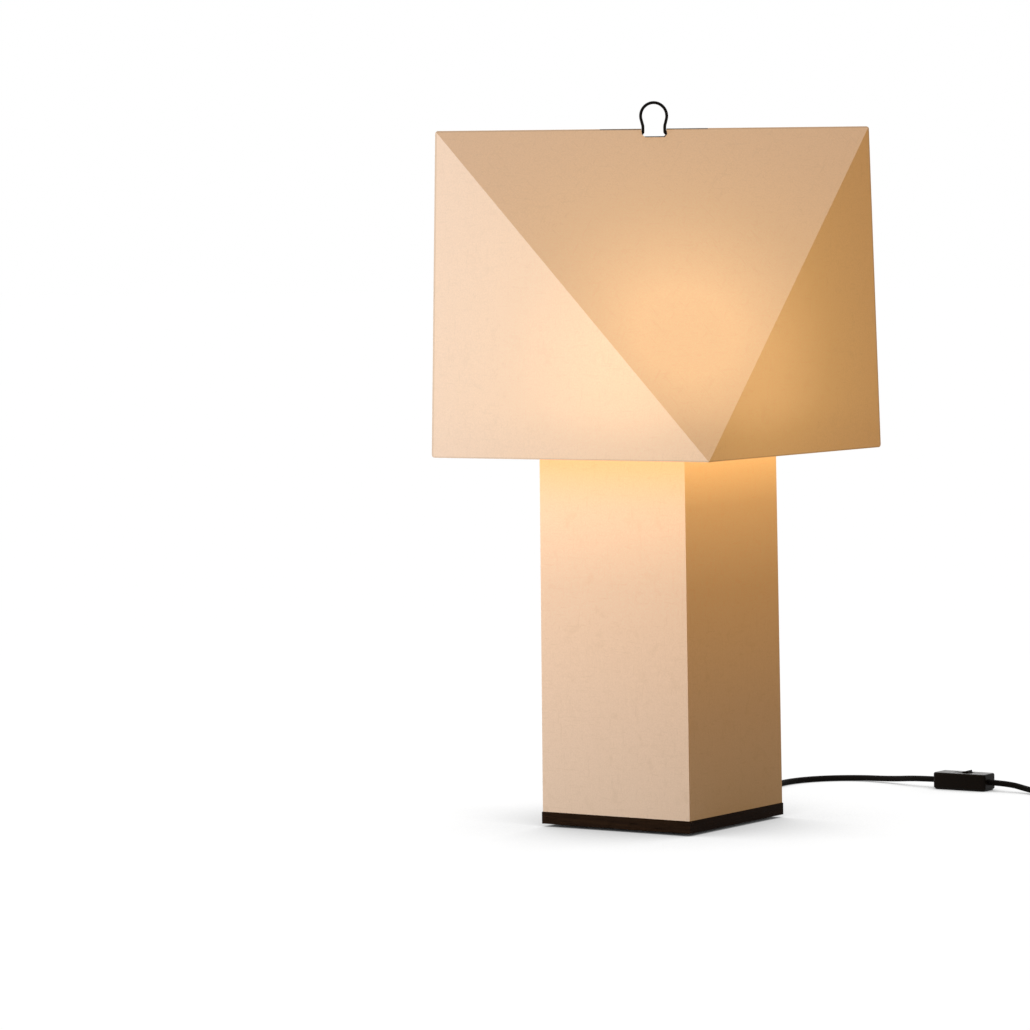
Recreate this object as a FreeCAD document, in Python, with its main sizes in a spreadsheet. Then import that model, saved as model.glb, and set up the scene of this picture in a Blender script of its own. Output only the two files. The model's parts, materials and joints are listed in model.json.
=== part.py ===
"""Table lamp: a folded paper shade on a square paper-faced column, with a mains lead and an inline switch.

Millimetres, +Z up.  The origin is on the table under the middle of the base plate.  The front of the
lamp is -Y, and the shade's ridge runs along the diagonal from the front left to the back right corner.
"""
import FreeCAD
import Part
import math
import os

import Sketcher

Vector = FreeCAD.Vector
UP = Vector(0, 0, 1)

# Driving sizes ---------------------------------------------------------------------------------------

SIZES = {
    # feet, base plate and what is screwed to it
    "pad_diameter": 20,
    "pad_height": 3,
    "pad_inset": 26,
    "plate_side": 175.5,
    "plate_thickness": 12,
    "plate_edge_chamfer": 0.6,
    "cable_hole_diameter": 60,
    "foot_frame_width": 18,
    "foot_frame_height": 20,
    "ballast_side": 128,
    "ballast_thickness": 10,
    "ballast_hole_diameter": 50,
    "wood_screw_diameter": 4,
    "wood_screw_head": 8,
    "wood_screw_head_height": 2.4,
    "wood_screw_length": 30,
    "ballast_screw_length": 19,
    "ballast_screw_inset": 14,
    # column
    "column_foot_side": 174,
    "column_top_side": 171,
    "column_height": 373,
    "column_wall": 1.6,
    "post_side": 14,
    "board_thickness": 12,
    "board_drop": 36,
    "fitting_gap": 0.2,
    # nipple, nuts and lampholder
    "nipple_diameter": 10,
    "nipple_bore": 8,
    "nipple_length": 34,
    "nut_width": 14,
    "nut_height": 4,
    "washer_diameter": 24,
    "washer_thickness": 1.6,
    "thread_clearance": 0.05,
    "holder_diameter": 40,
    "holder_wall": 2,
    "holder_cap_height": 14,
    "holder_cap_floor": 3,
    "holder_neck_diameter": 20,
    "holder_shell_height": 34,
    "insert_thickness": 6,
    "screw_shell_bore": 26.9,
    "screw_shell_wall": 0.5,
    "screw_shell_height": 22,
    # bulb
    "bulb_cap_diameter": 26,
    "bulb_cap_height": 23,
    "bulb_tip_height": 1.6,
    "bulb_tip_diameter": 9,
    "bulb_diameter": 80,
    "bulb_centre_height": 78,
    "bulb_neck_diameter": 34,
    "bulb_glass": 1.2,
    # harp that carries the shade
    "harp_wire": 3,
    "harp_foot_spread": 54,
    "harp_spread": 124,
    "harp_top_spread": 76,
    "harp_shoulder_rise": 66,
    "harp_straight": 190,
    "harp_sleeve_height": 14,
    "harp_sleeve_wall": 1,
    "saddle_width": 12,
    "saddle_thickness": 1.5,
    "crosshead_length": 90,
    "crosshead_height": 10.5,
    "crosshead_thickness": 3,
    "crosshead_relief": 44,
    # shade
    "shade_side": 325,
    "shade_bottom": 372,
    "shade_height": 323,
    "ridge_length": 442,
    "sheet_thickness": 0.7,
    "hem_wire": 3,
    "hem_rise": 4.5,
    "hem_corner": 13,
    "notch_width": 26,
    "notch_depth": 8.6,
    "notch_chamfer": 3,
    "strip_length": 110,
    "strip_leg": 9,
    "strip_thickness": 0.6,
    "spine_thickness": 1,
    "sheet_corner": 3,
    "ear_thickness": 1.2,
    "ear_offset": 15,
    "ear_margin": 0.7,
    "running_gap": 0.1,
    "seat_gap": 0.25,
    # lift loop
    "loop_wire": 3,
    "loop_width": 29.6,
    "loop_height": 27.4,
    "loop_neck": 22.2,
    "loop_arm": 8.1,
    "loop_corner": 2.3,
    "loop_neck_rise": 8,
    # mains lead, its bush and clamp
    "cord_diameter": 6.2,
    "cord_gap": 0.3,
    "cord_bend": 25,
    "bush_flange": 15,
    "bush_flange_thickness": 2.5,
    "bush_body_length": 12,
    "bush_tail_length": 24,
    "bush_tail_root": 10.4,
    "bush_wall": 0.6,
    "clamp_length": 34,
    "clamp_width": 10,
    "clamp_thickness": 1,
    "clamp_inset": 28,
    "clamp_screw_spacing": 22,
    "clamp_screw_diameter": 3,
    "clamp_screw_head": 6,
    "clamp_screw_head_height": 1.2,
    "clamp_screw_length": 9,
    # inline switch
    "switch_x": 133,
    "switch_y": 380,
    "switch_length": 62,
    "switch_width": 25,
    "switch_height": 18,
    "switch_split": 9,
    "switch_wall": 2,
    "switch_corner": 3.5,
    "switch_edge": 2,
    "cord_inside_switch": 5,
    "floor_gap": 0.3,
    "rocker_length": 20,
    "rocker_width": 9,
    "rocker_rise": 2.6,
    "rocker_angle": 10,
    "rocker_gap": 0.5,
    "rocker_pivot_height": 12,
    "rocker_pin_diameter": 2.5,
    "cheek_thickness": 1.6,
    "switch_screw_spacing": 46,
    "switch_screw_diameter": 2.6,
    "switch_screw_head": 5,
    "switch_screw_length": 10,
    # coil of the spare length, its tie and the plug
    "coil_x": 289.6,
    "coil_y": 363.1,
    "coil_heading": -55,
    "coil_outer_radius": 44.4,
    "coil_turn_gap": 0.6,
    "coil_layer_gap": 0.5,
    "coil_climb_room": 1.8,
    "tie_width": 12,
    "tie_thickness": 1,
    "plug_axis_height": 7.4,
    "plug_face_width": 35,
    "plug_face_height": 13.8,
    "plug_body_length": 36,
    "plug_neck_width": 13,
    "plug_relief_length": 22,
    "plug_pin_diameter": 4,
    "plug_pin_length": 19,
    "plug_pin_spacing": 19,
    "plug_pin_root": 6,
    "plug_pin_stem": 3.2,
}

# Levels and widths worked out from the driving sizes.
PLACES = {
    "plate_top": "=Sizes.pad_height + Sizes.plate_thickness",
    "column_top": "=Places.plate_top + Sizes.column_height",
    "board_top": "=Places.column_top - Sizes.board_drop",
    "board_bottom": "=Places.board_top - Sizes.board_thickness",
    "column_slope": "=(Sizes.column_foot_side - Sizes.column_top_side) / Sizes.column_height",
    "board_side": "=Sizes.column_top_side + Places.column_slope * Sizes.board_drop"
                  " - 2 * Sizes.column_wall - 2 * Sizes.fitting_gap",
    "frame_side": "=Sizes.column_foot_side - Places.column_slope * Sizes.foot_frame_height"
                  " - 2 * Sizes.column_wall - 2 * Sizes.fitting_gap",
    "frame_top": "=Places.plate_top + Sizes.foot_frame_height",
    "saddle_top": "=Places.board_top + Sizes.saddle_thickness",
    "holder_bottom": "=Places.saddle_top + Sizes.nut_height",
    "holder_joint": "=Places.holder_bottom + Sizes.holder_cap_height",
    "contact_top": "=Places.holder_joint + Sizes.holder_wall",
    "cord_level": "=Sizes.pad_height + Sizes.cord_diameter / 2 + Sizes.cord_gap",
    "ridge_top": "=Sizes.shade_bottom + Sizes.shade_height",
    "switch_bottom": "=Sizes.floor_gap",
}

doc = FreeCAD.newDocument("FoldedPaperLamp")
sizes = doc.addObject("Spreadsheet::Sheet", "Sizes")
places = doc.addObject("Spreadsheet::Sheet", "Places")


def fill(sheet, cells):
    """Write one named value to each row of a sheet."""
    for row, (alias, content) in enumerate(cells.items(), start=1):
        sheet.set("A%d" % row, alias)
        sheet.set("B%d" % row, str(content))
        sheet.setAlias("B%d" % row, alias)


fill(sizes, SIZES)
fill(places, {alias: content.replace("Places.", "") for alias, content in PLACES.items()})
doc.recompute()


def value(expression):
    """The number that an expression on the sheets gives now."""
    result = places.evalExpression(expression)
    return float(getattr(result, "Value", result))


def size(alias):
    """One driving size, as a number."""
    return float(sizes.get(alias))


def place(alias):
    """One worked-out level or width, as a number."""
    return float(places.get(alias))


nodes = []

# Helpers for sketched bodies -------------------------------------------------------------------------


def new_body(label):
    """An empty body that becomes one node."""
    body = doc.addObject("PartDesign::Body", label)
    body.Label = label
    nodes.append(body)
    return body


def origin_feature(body, role):
    """One of the body's own origin planes or axes."""
    return next(item for item in body.Origin.OriginFeatures if item.Role == role)


def new_sketch(body, plane="XY_Plane", **offsets):
    """A sketch on one of the body's planes, moved in it by expressions for x, y or z."""
    sketch = body.newObject("Sketcher::SketchObject", "Sketch")
    sketch.AttachmentSupport = [(origin_feature(body, plane), "")]
    sketch.MapMode = "FlatFace"
    for axis, expression in offsets.items():
        sketch.setExpression("AttachmentOffset.Base." + axis, expression)
    return sketch


def tie(sketch, kind, geometry, vertex, expression):
    """Hold one coordinate of a point to an expression, measured from the sketch's origin."""
    index = sketch.addConstraint(Sketcher.Constraint(kind, -1, 1, geometry, vertex, value(expression)))
    sketch.setExpression("Constraints[%d]" % index, expression)


def add_polygon(sketch, corners):
    """Closed outline with a corner at each pair of expressions."""
    points = [Vector(value(x), value(y), 0) for x, y in corners]
    first = sketch.GeometryCount
    count = len(points)
    for index, point in enumerate(points):
        sketch.addGeometry(Part.LineSegment(point, points[(index + 1) % count]), False)
    for index, (x, y) in enumerate(corners):
        after = first + (index + 1) % count
        sketch.addConstraint(Sketcher.Constraint("Coincident", first + index, 2, after, 1))
        tie(sketch, "DistanceX", first + index, 1, x)
        tie(sketch, "DistanceY", first + index, 1, y)
    return sketch


def add_rectangle(sketch, width, depth, x="0", y="0"):
    """Rectangle of the given width and depth round the point x, y."""
    left, right = "%s - (%s) / 2" % (x, width), "%s + (%s) / 2" % (x, width)
    front, back = "%s - (%s) / 2" % (y, depth), "%s + (%s) / 2" % (y, depth)
    return add_polygon(sketch, [(left, front), (right, front), (right, back), (left, back)])


def add_circle(sketch, diameter, x="0", y="0"):
    """Circle of the given diameter round the point x, y."""
    circle = Part.Circle(Vector(value(x), value(y), 0), UP, value(diameter) / 2)
    index = sketch.addGeometry(circle, False)
    tie(sketch, "DistanceX", index, 3, x)
    tie(sketch, "DistanceY", index, 3, y)
    constraint = sketch.addConstraint(Sketcher.Constraint("Diameter", index, value(diameter)))
    sketch.setExpression("Constraints[%d]" % constraint, diameter)
    return sketch


def pad(body, sketch, length, down=False):
    """Solid raised from a sketch."""
    feature = body.newObject("PartDesign::Pad", "Pad")
    feature.Profile = sketch
    feature.Reversed = down
    feature.setExpression("Length", length)
    doc.recompute()
    return feature


def pocket(body, sketch, depth=None, up=False):
    """Recess cut from a sketch, through everything when no depth is given."""
    before = body.Shape.Volume
    feature = body.newObject("PartDesign::Pocket", "Pocket")
    feature.Profile = sketch
    feature.Reversed = up
    if depth is None:
        feature.Type = "ThroughAll"
        feature.Midplane = True
    else:
        feature.setExpression("Length", depth)
    doc.recompute()
    if not body.Shape.Volume < before:
        raise ValueError("a recess in %s cuts nothing" % body.Label)
    return feature


def turn(body, profile):
    """Solid of revolution round Z from an outline of (radius, height) expressions."""
    sketch = add_polygon(new_sketch(body, "XZ_Plane"), profile)
    feature = body.newObject("PartDesign::Revolution", "Turned")
    feature.Profile = sketch
    feature.ReferenceAxis = (sketch, ["V_Axis"])
    feature.Angle = 360
    doc.recompute()
    return feature


def repeat_round(body, feature, count):
    """Copies of a feature at equal steps round Z."""
    pattern = body.newObject("PartDesign::PolarPattern", "Round")
    pattern.Originals = [feature]
    pattern.Axis = (origin_feature(body, "Z_Axis"), [""])
    pattern.Angle = 360
    pattern.Occurrences = count
    body.Tip = pattern
    doc.recompute()
    return pattern


def soften(body, kind, amount, picks):
    """Fillet or chamfer the edges of the body's tip that a test picks."""
    tip = body.Tip
    names = ["Edge%d" % (i + 1) for i, edge in enumerate(tip.Shape.Edges) if picks(edge)]
    feature = body.newObject("PartDesign::" + kind, kind)
    feature.Base = (tip, names)
    feature.setExpression("Radius" if kind == "Fillet" else "Size", amount)
    doc.recompute()
    return feature


def is_upright(edge):
    """True for a straight edge along Z."""
    ends = [vertex.Point for vertex in edge.Vertexes]
    return len(ends) == 2 and math.hypot(ends[0].x - ends[1].x, ends[0].y - ends[1].y) < 1e-6


def lies_at(edge, level):
    """True for an edge that stays at one height."""
    return abs(edge.BoundBox.ZMin - level) < 1e-6 and abs(edge.BoundBox.ZMax - level) < 1e-6


# Helpers for bent wire, cords and free shapes --------------------------------------------------------


def new_feature(label, shape, placement=FreeCAD.Placement()):
    """A node whose shape is set directly."""
    feature = doc.addObject("Part::Feature", label)
    feature.Label = label
    feature.Shape = shape
    feature.Placement = placement
    nodes.append(feature)
    return feature


ON_RIDGE = FreeCAD.Placement(Vector(0, 0, 0), FreeCAD.Rotation(UP, 45))


def corner_arc(first, corner, last):
    """Arc from first to last, tangent to the two equal legs that meet at a corner."""
    back, onward = (first - corner).normalize(), (last - corner).normalize()
    half_turn = (math.pi - back.getAngle(onward)) / 2
    radius = (first - corner).Length / math.tan(half_turn)
    top = corner + (back + onward).normalize() * (radius / math.cos(half_turn) - radius)
    return Part.Arc(first, top, last).toShape()


def bent_path(points, radii):
    """Straight runs joined by tangent arcs, one radius for each inner point."""
    edges = []
    start = points[0]
    for before, corner, after, radius in zip(points, points[1:], points[2:], radii):
        back = (before - corner).normalize()
        onward = (after - corner).normalize()
        reach = radius * math.tan((math.pi - back.getAngle(onward)) / 2)
        first, last = corner + back * reach, corner + onward * reach
        if (first - start).Length > 1e-6:
            edges.append(Part.LineSegment(start, first).toShape())
        edges.append(corner_arc(first, corner, last))
        start = last
    edges.append(Part.LineSegment(start, points[-1]).toShape())
    return Part.Wire(edges)


def biarc(start, heading, end, last_heading):
    """Two equal-legged arcs from one point and heading to another."""
    gap, both = end - start, heading + last_heading
    spread = 2 * (1 - heading.dot(last_heading))
    along = gap.dot(both)
    leg = (math.sqrt(along ** 2 + spread * gap.dot(gap)) - along) / spread
    first, second = start + heading * leg, end - last_heading * leg
    middle = (first + second) * 0.5
    return [corner_arc(start, first, middle), corner_arc(middle, second, end)]


def tube_along(path, diameter):
    """Round section carried along a wire."""
    first = path.Edges[0]
    start = first.valueAt(first.FirstParameter)
    heading = first.tangentAt(first.FirstParameter)
    section = Part.Wire([Part.Circle(start, heading, diameter / 2).toShape()])
    solid = path.makePipeShell([section], True, False)
    if solid.Volume < 0:
        solid.reverse()
    return solid


def cord_radii(points):
    """The largest arc that each inner point's two runs allow."""
    radii = []
    for before, corner, after in zip(points, points[1:], points[2:]):
        half_turn = (math.pi - (before - corner).getAngle(after - corner)) / 2
        shorter = min((before - corner).Length, (after - corner).Length)
        radii.append(0.45 * shorter / math.tan(half_turn))
    return radii


def cord_tube(label, points):
    """A free stretch of the mains lead along a route of chosen points."""
    radii = cord_radii(points)
    path = bent_path(points, radii)
    diameter = size("cord_diameter")
    solid = tube_along(path, diameter)
    expected = math.pi * diameter ** 2 / 4 * path.Length
    print("%s: length %.1f, radii %s, volume / expected %.5f" % (
        label, path.Length, " ".join("%.0f" % radius for radius in radii), solid.Volume / expected))
    return new_feature(label, solid)


def prism(points, direction):
    """Flat outline pushed along a direction."""
    return Part.Face(Part.makePolygon(points + points[:1])).extrude(direction)


def polyhedron(faces):
    """Closed solid from lists of corner points."""
    shell = Part.makeShell([Part.Face(Part.makePolygon(list(face) + [face[0]])) for face in faces])
    solid = Part.makeSolid(shell)
    if solid.Volume < 0:
        solid.reverse()
    return solid


# Feet, base plate and weight -------------------------------------------------------------------------


def make_foot_pads():
    body = new_body("foot_pads")
    inset = "Sizes.plate_side / 2 - Sizes.pad_inset"
    sketch = add_circle(new_sketch(body), "Sizes.pad_diameter", inset, inset)
    repeat_round(body, pad(body, sketch, "Sizes.pad_height"), 4)


SCREW_PLACE = "Places.frame_side / 2 - Sizes.foot_frame_width / 2"
BALLAST_SCREW_PLACE = "Sizes.ballast_side / 2 - Sizes.ballast_screw_inset"


def make_base_plate():
    body = new_body("base_plate")
    outline = add_rectangle(new_sketch(body, z="Sizes.pad_height"), "Sizes.plate_side", "Sizes.plate_side")
    pad(body, outline, "Sizes.plate_thickness")
    hole = add_circle(new_sketch(body, z="Sizes.pad_height"), "Sizes.cable_hole_diameter")
    pocket(body, hole)
    groove = new_sketch(body, z="Sizes.pad_height")
    reach = "Sizes.plate_side / 2 + 1"
    add_rectangle(groove, "Sizes.cord_diameter + 2 * Sizes.cord_gap", reach, y="(%s) / 2" % reach)
    pocket(body, groove, "Sizes.cord_diameter + 2 * Sizes.cord_gap", up=True)
    socket = new_sketch(body, z="Sizes.pad_height")
    depth = "Sizes.bush_body_length + Sizes.cord_gap"
    middle = "Sizes.plate_side / 2 - (%s) / 2" % depth
    add_rectangle(socket, BUSH_WIDTH + " + 2 * Sizes.fitting_gap", depth, y=middle)
    pocket(body, socket, BUSH_WIDTH + " / 2 + Places.cord_level - Sizes.pad_height"
                         " + Sizes.fitting_gap", up=True)
    for place_of_screw in (SCREW_PLACE, BALLAST_SCREW_PLACE):
        for width, depth in (("Sizes.wood_screw_diameter", "Sizes.plate_thickness"),
                             ("Sizes.wood_screw_head", "Sizes.wood_screw_head_height")):
            drill = new_sketch(body, z="Sizes.pad_height")
            add_circle(drill, width + " + 2 * Sizes.fitting_gap", place_of_screw, place_of_screw)
            repeat_round(body, pocket(body, drill, depth, up=True), 4)
    soften(body, "Chamfer", "Sizes.plate_edge_chamfer",
           lambda edge: lies_at(edge, place("plate_top")) and edge.Length > size("plate_side") / 2)


BUSH_WIDTH = "(Sizes.cord_diameter + 4 * Sizes.bush_wall)"


def make_foot_frame():
    body = new_body("foot_frame")
    ring = new_sketch(body, z="Places.plate_top")
    add_rectangle(ring, "Places.frame_side", "Places.frame_side")
    inner = "Places.frame_side - 2 * Sizes.foot_frame_width"
    add_rectangle(ring, inner, inner)
    pad(body, ring, "Sizes.foot_frame_height")
    drill = new_sketch(body, z="Places.plate_top")
    add_circle(drill, "Sizes.wood_screw_diameter + 2 * Sizes.thread_clearance", SCREW_PLACE, SCREW_PLACE)
    depth = "Sizes.wood_screw_length - Sizes.plate_thickness + 1"
    repeat_round(body, pocket(body, drill, depth, up=True), 4)


def countersunk_screws(label, bottom, place_of_screw, length):
    """Four equal screws, heads down, one towards each corner."""
    body = new_body(label)
    head = new_sketch(body, z=bottom)
    add_circle(head, "Sizes.wood_screw_head", place_of_screw, place_of_screw)
    heads = pad(body, head, "Sizes.wood_screw_head_height")
    repeat_round(body, heads, 4)
    shank = new_sketch(body, z=bottom)
    add_circle(shank, "Sizes.wood_screw_diameter", place_of_screw, place_of_screw)
    repeat_round(body, pad(body, shank, length), 4)


def make_ballast():
    body = new_body("ballast_plate")
    outline = new_sketch(body, z="Places.plate_top")
    add_rectangle(outline, "Sizes.ballast_side", "Sizes.ballast_side")
    add_circle(outline, "Sizes.ballast_hole_diameter")
    pad(body, outline, "Sizes.ballast_thickness")
    drill = new_sketch(body, z="Places.plate_top")
    add_circle(drill, "Sizes.wood_screw_diameter + 2 * Sizes.thread_clearance",
               BALLAST_SCREW_PLACE, BALLAST_SCREW_PLACE)
    depth = "Sizes.ballast_screw_length - Sizes.plate_thickness + 1"
    repeat_round(body, pocket(body, drill, depth, up=True), 4)


# Column ----------------------------------------------------------------------------------------------


def make_column_sleeve():
    """Tapered square tube of board that is faced with paper."""
    body = new_body("column_sleeve")
    for kind, wall in (("AdditiveLoft", "0"), ("SubtractiveLoft", "2 * Sizes.column_wall")):
        foot = new_sketch(body, z="Places.plate_top")
        side = "Sizes.column_foot_side - " + wall
        add_rectangle(foot, side, side)
        top = new_sketch(body, z="Places.column_top")
        side = "Sizes.column_top_side - " + wall
        add_rectangle(top, side, side)
        loft = body.newObject("PartDesign::" + kind, "Taper")
        loft.Profile = foot
        loft.Sections = [top]
        loft.Ruled = True
        doc.recompute()


POST_PLACE = "Places.board_side / 2 - Sizes.post_side / 2"


def make_column_posts():
    body = new_body("column_posts")
    post = new_sketch(body, z="Places.frame_top")
    add_rectangle(post, "Sizes.post_side", "Sizes.post_side", POST_PLACE, POST_PLACE)
    repeat_round(body, pad(body, post, "Places.board_bottom - Places.frame_top"), 4)
    drill = new_sketch(body, z="Places.board_bottom")
    add_circle(drill, "Sizes.wood_screw_diameter + 2 * Sizes.thread_clearance", POST_PLACE, POST_PLACE)
    depth = "Sizes.wood_screw_length - Sizes.board_thickness + 1"
    repeat_round(body, pocket(body, drill, depth), 4)


def make_top_board():
    body = new_body("top_board")
    outline = new_sketch(body, z="Places.board_bottom")
    add_rectangle(outline, "Places.board_side", "Places.board_side")
    add_circle(outline, "Sizes.nipple_diameter + 2 * Sizes.fitting_gap")
    pad(body, outline, "Sizes.board_thickness")
    drill = new_sketch(body, z="Places.board_top")
    add_circle(drill, "Sizes.wood_screw_diameter + 2 * Sizes.fitting_gap", POST_PLACE, POST_PLACE)
    repeat_round(body, pocket(body, drill, "Sizes.board_thickness"), 4)
    sink = new_sketch(body, z="Places.board_top")
    add_circle(sink, "Sizes.wood_screw_head + 2 * Sizes.fitting_gap", POST_PLACE, POST_PLACE)
    repeat_round(body, pocket(body, sink, "Sizes.wood_screw_head_height"), 4)


def make_board_screws():
    """Four screws through the top board into the posts, heads up."""
    body = new_body("board_screws")
    for width, depth in (("Sizes.wood_screw_head", "Sizes.wood_screw_head_height"),
                         ("Sizes.wood_screw_diameter", "Sizes.wood_screw_length")):
        sketch = add_circle(new_sketch(body, z="Places.board_top"), width, POST_PLACE, POST_PLACE)
        repeat_round(body, pad(body, sketch, depth, down=True), 4)


# Nipple, lampholder and bulb -------------------------------------------------------------------------

NIPPLE_BOTTOM = "Places.board_bottom - Sizes.washer_thickness - Sizes.nut_height - 4"


def make_nipple():
    body = new_body("nipple")
    sketch = new_sketch(body, z=NIPPLE_BOTTOM)
    add_circle(sketch, "Sizes.nipple_diameter")
    add_circle(sketch, "Sizes.nipple_bore")
    pad(body, sketch, "Sizes.nipple_length")


def make_nipple_nuts():
    """One nut under the board and one on the harp's saddle."""
    body = new_body("nipple_nuts")
    half, corner = "Sizes.nut_width / 2", "Sizes.nut_width / sqrt(3)"
    hexagon = [(corner, "0"), (corner + " / 2", half), ("-" + corner + " / 2", half),
               ("-" + corner, "0"), ("-" + corner + " / 2", "-" + half), (corner + " / 2", "-" + half)]
    under = "Places.board_bottom - Sizes.washer_thickness - Sizes.nut_height"
    for level in (under, "Places.saddle_top"):
        sketch = add_polygon(new_sketch(body, z=level), hexagon)
        add_circle(sketch, "Sizes.nipple_diameter + 2 * Sizes.thread_clearance")
        pad(body, sketch, "Sizes.nut_height")


def make_nipple_washer():
    body = new_body("nipple_washer")
    sketch = new_sketch(body, z="Places.board_bottom - Sizes.washer_thickness")
    add_circle(sketch, "Sizes.washer_diameter")
    add_circle(sketch, "Sizes.nipple_diameter + 2 * Sizes.fitting_gap")
    pad(body, sketch, "Sizes.washer_thickness")


HOLDER_RADIUS = "Sizes.holder_diameter / 2"
THREAD_RADIUS = "Sizes.nipple_diameter / 2 + Sizes.thread_clearance"


def make_lampholder_cap():
    """Lower half of the lampholder, screwed onto the nipple."""
    body = new_body("lampholder_cap")
    floor = "Places.holder_bottom + Sizes.holder_cap_floor"
    shoulder = "Places.holder_bottom + Sizes.holder_cap_height / 2"
    neck = "Sizes.holder_neck_diameter / 2"
    turn(body, [(THREAD_RADIUS, "Places.holder_bottom"),
                (neck, "Places.holder_bottom"),
                (HOLDER_RADIUS, shoulder),
                (HOLDER_RADIUS, "Places.holder_joint"),
                (HOLDER_RADIUS + " - Sizes.holder_wall", "Places.holder_joint"),
                (HOLDER_RADIUS + " - Sizes.holder_wall", shoulder + " + Sizes.holder_wall / 2"),
                (neck + " - Sizes.holder_wall / 2", floor),
                (THREAD_RADIUS, floor)])


def make_lampholder_shell():
    """Upper sleeve of the lampholder, with a rim that closes in round the bulb's cap."""
    body = new_body("lampholder_shell")
    top = "Places.holder_joint + Sizes.holder_shell_height"
    inner = HOLDER_RADIUS + " - Sizes.holder_wall"
    turn(body, [(inner, "Places.holder_joint"),
                (HOLDER_RADIUS, "Places.holder_joint"),
                (HOLDER_RADIUS, top + " - Sizes.holder_wall"),
                (HOLDER_RADIUS + " - Sizes.holder_wall", top),
                (inner + " - Sizes.holder_wall", top),
                (inner + " - Sizes.holder_wall", top + " - Sizes.holder_wall"),
                (inner, top + " - 2 * Sizes.holder_wall")])


def make_lampholder_insert():
    """Ceramic contact block inside the shell."""
    body = new_body("lampholder_insert")
    sketch = new_sketch(body, z="Places.contact_top - Sizes.insert_thickness")
    add_circle(sketch, "Sizes.holder_diameter - 2 * Sizes.holder_wall - 2 * Sizes.fitting_gap")
    pad(body, sketch, "Sizes.insert_thickness")


SCREW_SHELL_RADIUS = "Sizes.screw_shell_bore / 2 + Sizes.screw_shell_wall"


def make_lampholder_screw_shell():
    """Brass shell with a floor, standing on the contact block."""
    body = new_body("lampholder_screw_shell")
    bottom = "Places.contact_top"
    turn(body, [("Sizes.bulb_tip_diameter / 2 + 2", bottom),
                (SCREW_SHELL_RADIUS, bottom),
                (SCREW_SHELL_RADIUS, bottom + " + Sizes.screw_shell_height"),
                ("Sizes.screw_shell_bore / 2", bottom + " + Sizes.screw_shell_height"),
                ("Sizes.screw_shell_bore / 2", bottom + " + Sizes.screw_shell_wall"),
                ("Sizes.bulb_tip_diameter / 2 + 2", bottom + " + Sizes.screw_shell_wall")])


CAP_BOTTOM = "Places.contact_top + Sizes.thread_clearance + Sizes.bulb_tip_height"


def make_bulb_cap():
    """Screw cap of the bulb with its centre contact."""
    body = new_body("bulb_cap")
    radius = "Sizes.bulb_cap_diameter / 2"
    top = "Places.contact_top + Sizes.thread_clearance + Sizes.bulb_cap_height"
    turn(body, [("0", "Places.contact_top + Sizes.thread_clearance"),
                ("Sizes.bulb_tip_diameter / 2", "Places.contact_top + Sizes.thread_clearance"),
                ("Sizes.bulb_tip_diameter / 2", CAP_BOTTOM),
                (radius + " - 2", CAP_BOTTOM),
                (radius, CAP_BOTTOM + " + 2"),
                (radius, top),
                ("0", top)])


def make_bulb_globe():
    """Hollow opal globe on a short neck."""
    centre = place("contact_top") + size("thread_clearance") + size("bulb_centre_height")
    foot = place("contact_top") + size("thread_clearance") + size("bulb_cap_height")
    glass = size("bulb_glass")
    solids = []
    for inset in (0, glass):
        radius = size("bulb_diameter") / 2 - inset
        wide = size("bulb_neck_diameter") / 2 - inset
        narrow = size("bulb_cap_diameter") / 2 - inset
        waist = centre - math.sqrt(radius ** 2 - wide ** 2)
        ball = Part.makeSphere(radius, Vector(0, 0, centre))
        bottom = foot - (1 if inset else 0)
        neck = Part.makeCone(narrow, wide, waist - bottom, Vector(0, 0, bottom))
        solids.append(ball.fuse(neck).removeSplitter())
    new_feature("bulb_globe", solids[0].cut(solids[1]))


# Harp: the wire frame that carries the shade ---------------------------------------------------------


def apex_drop(half_width):
    """How far below an apex the folded ridge is this wide to each side."""
    return half_width * size("shade_height") / (size("shade_side") / math.sqrt(2))


def wall_drop(thickness):
    """How far a layer of this thickness lowers the ridge's inner apex."""
    return thickness * math.hypot(1, apex_drop(1))


STRIP_APEX = place("ridge_top") - wall_drop(size("sheet_thickness") + size("strip_thickness"))
LOOP_LEVEL = STRIP_APEX - wall_drop(size("loop_wire") / 2 + size("running_gap"))
EAR_BOTTOM = LOOP_LEVEL - size("loop_wire") / 2 - size("running_gap") - size("ear_margin")
CROSSHEAD_TOP = STRIP_APEX - apex_drop(size("crosshead_thickness") / 2) - size("seat_gap")
CROSSHEAD_BOTTOM = CROSSHEAD_TOP - size("crosshead_height")
HARP_TOP = CROSSHEAD_BOTTOM - size("harp_wire") / 2


def make_harp_saddle():
    """Flat strip under the lampholder whose turned-up ends carry two sleeves for the harp."""
    half = size("harp_foot_spread") / 2
    thickness, width = size("saddle_thickness"), size("saddle_width")
    wire, wall, gap = size("harp_wire"), size("harp_sleeve_wall"), size("thread_clearance")
    outer = wire / 2 + gap + wall
    bottom = place("board_top")
    strip = Part.makeBox(2 * half, width, thickness, Vector(-half, -width / 2, bottom))
    hole = Part.makeCylinder(size("nipple_diameter") / 2 + size("fitting_gap"), thickness,
                             Vector(0, 0, bottom))
    shape = strip.cut(hole)
    for side in (-1, 1):
        foot = Vector(side * half, 0, bottom)
        sleeve = Part.makeCylinder(outer, size("harp_sleeve_height"), foot)
        bore = Part.makeCylinder(wire / 2 + gap, size("harp_sleeve_height"), foot + UP * thickness)
        shape = shape.fuse(sleeve).cut(bore)
    new_feature("harp_saddle", shape.removeSplitter(), ON_RIDGE)


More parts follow.
